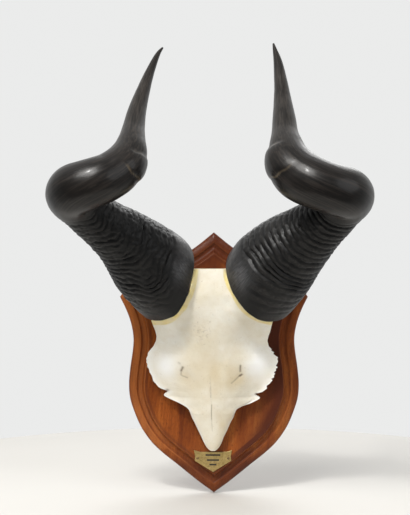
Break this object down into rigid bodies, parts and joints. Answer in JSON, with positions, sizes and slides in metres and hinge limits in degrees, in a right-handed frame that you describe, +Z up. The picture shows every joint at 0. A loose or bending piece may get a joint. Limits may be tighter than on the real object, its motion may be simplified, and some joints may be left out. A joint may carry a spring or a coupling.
{
  "type": "horned skull wall trophy",
  "caption": "Hartebeest skull cap with twice-bent ringed horns, fixed on a moulded wooden wall shield above a small brass name plate.",
  "frame": {"origin": "middle of the shield's flat back face, the face that lies on the wall, half-way across and on the level of the middle of its height", "axes": "+Z up the wall along the shield, -Y out of the wall towards the viewer, +X to the viewer's right"},
  "size_m": [0.3368, 0.2059, 0.5088],
  "materials": {
    "mahogany": "stained and waxed mahogany, satin",
    "bone": "dry bleached bone, matt",
    "horn": "near-black horn, ringed and dull below, smooth and satin above",
    "brass": "aged brass, satin",
    "steel": "zinc-plated steel, satin"
  },
  "bodies": {
    "root": {"shield": "mahogany", "skull": "bone", "left_horn": "horn", "right_horn": "horn", "name_plate": "brass", "plate_pin_left": "brass", "plate_pin_right": "brass", "hanger_plate": "steel", "hanger_screw_left": "steel", "hanger_screw_right": "steel", "skull_screw_upper": "steel", "skull_screw_lower": "steel"}
  },
  "joints": []
}
